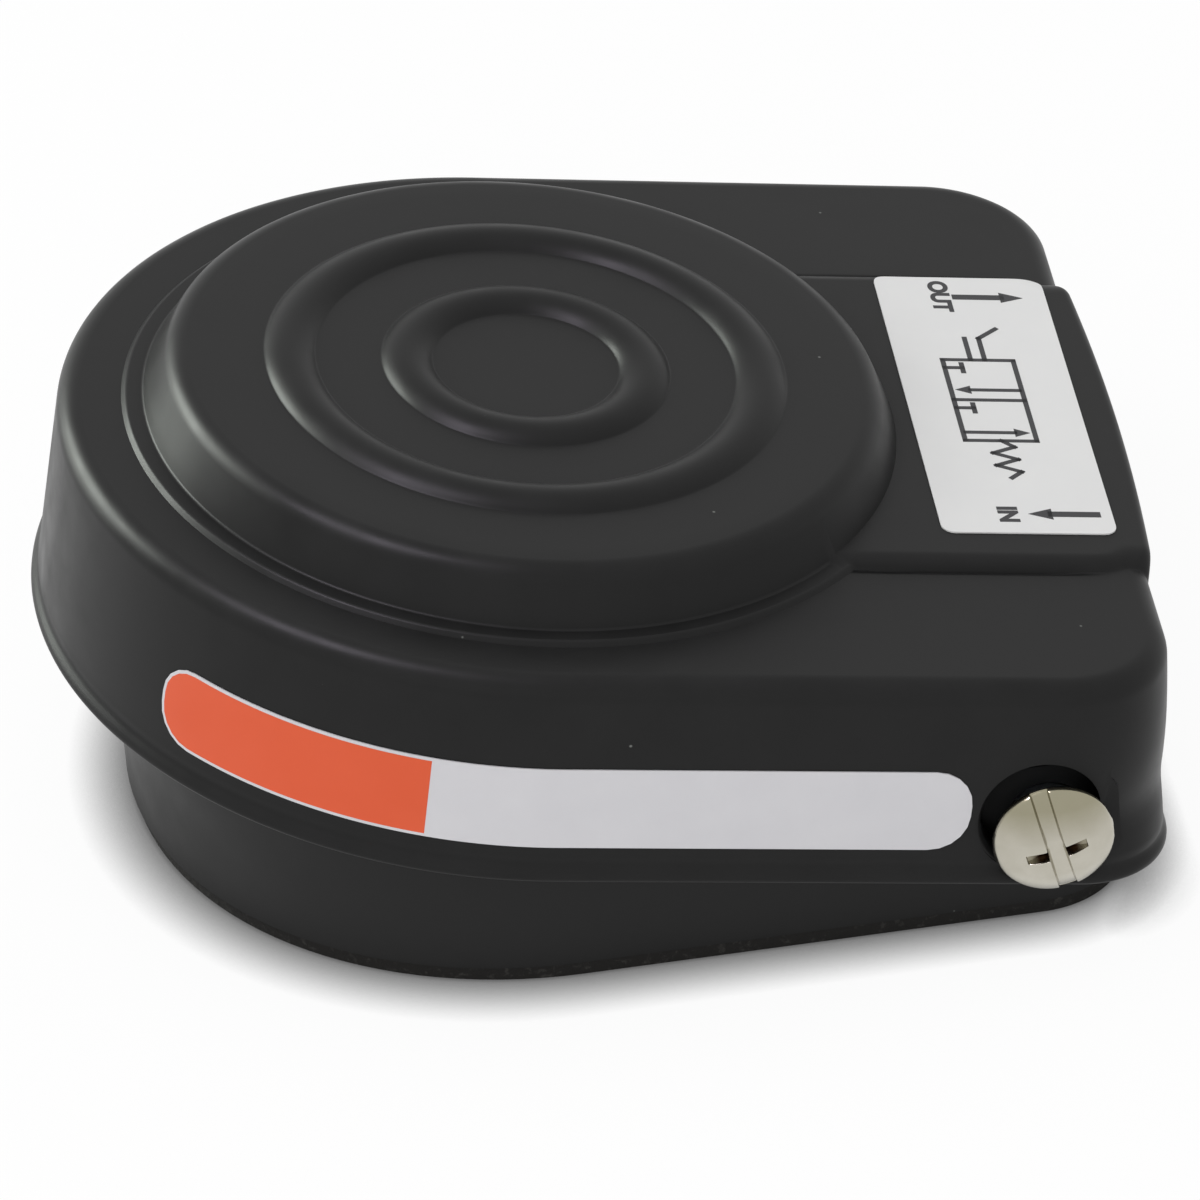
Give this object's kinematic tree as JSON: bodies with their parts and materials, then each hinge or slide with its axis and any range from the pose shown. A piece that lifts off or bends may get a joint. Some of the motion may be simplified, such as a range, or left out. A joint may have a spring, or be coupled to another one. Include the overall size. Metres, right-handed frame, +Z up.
{
  "type": "pneumatic foot switch",
  "caption": "Low foot-operated air valve: a round-fronted treadle hinged over a base pan, with inlet and outlet ports at the rear and an inner spring-return valve.",
  "frame": {"origin": "on the floor, in the middle of the whole switch's length and width", "axes": "+Z up; the rounded toe end is at -Y and the hose ports face +Y; left and right are the operator's, who faces -Y, so left is +X"},
  "size_m": [0.0914, 0.0998, 0.0451],
  "materials": {
    "treadle_plastic": "moulded black, fine texture",
    "base_plastic": "moulded black",
    "pad_rubber": "ribbed rubber sheet",
    "nickel_plate": "bright nickel plate",
    "zinc_plate": "clear zinc plate",
    "valve_aluminium": "machined",
    "brass": "turned",
    "stainless_steel": "turned",
    "spring_steel": "drawn wire",
    "seal_rubber": "moulded nitrile",
    "label_film": "printed white film",
    "decal_film": "printed orange and white film"
  },
  "bodies": {
    "base": {"base_pan": "base_plastic", "non_slip_pad": "pad_rubber", "pivot_screw_left": "nickel_plate", "pivot_screw_right": "nickel_plate", "pivot_sleeve_left": "zinc_plate", "pivot_sleeve_right": "zinc_plate", "pivot_nut_left": "zinc_plate", "pivot_nut_right": "zinc_plate", "valve_body": "valve_aluminium", "valve_bonnet": "brass", "bonnet_ring": "seal_rubber", "stem_ring": "seal_rubber", "plug_ring": "seal_rubber", "bottom_plug": "brass", "valve_screws": "zinc_plate", "stop_bumper": "seal_rubber", "stem_spring": "spring_steel", "poppet_spring": "spring_steel", "return_spring": "spring_steel"},
    "treadle": {"treadle_cover": "treadle_plastic", "actuator_button": "zinc_plate", "top_label": "label_film", "side_decal": "decal_film"},
    "stem": {"valve_stem": "stainless_steel", "stem_clip": "spring_steel"},
    "poppet": {"poppet": "brass", "poppet_seal": "seal_rubber"}
  },
  "joints": [
    {"name": "treadle_hinge", "type": "hinge", "parent": "base", "child": "treadle", "pos_m": [0, 0.03603, 0.0126], "axis": [1, 0, 0], "range_deg": [0, 6], "stiffness_Nm_per_rad": 8, "springref_deg": -8.59, "deforming": ["return_spring"]},
    {"name": "stem_slide", "type": "slide", "parent": "base", "child": "stem", "axis": [0, 0, -1], "range_m": [0, 0.00246], "stiffness_N_per_m": 400, "springref_m": -0.004, "deforming": ["stem_spring"]},
    {"name": "poppet_slide", "type": "slide", "parent": "base", "child": "poppet", "axis": [0, 0, -1], "range_m": [0, 0.0019], "stiffness_N_per_m": 300, "springref_m": -0.002, "deforming": ["poppet_spring"]}
  ],
  "couplings": [
    {"joint": "stem_slide", "follows": "treadle_hinge", "m_per_rad": 0.02325},
    {"joint": "poppet_slide", "follows": "treadle_hinge", "m_per_rad": 0.018}
  ]
}
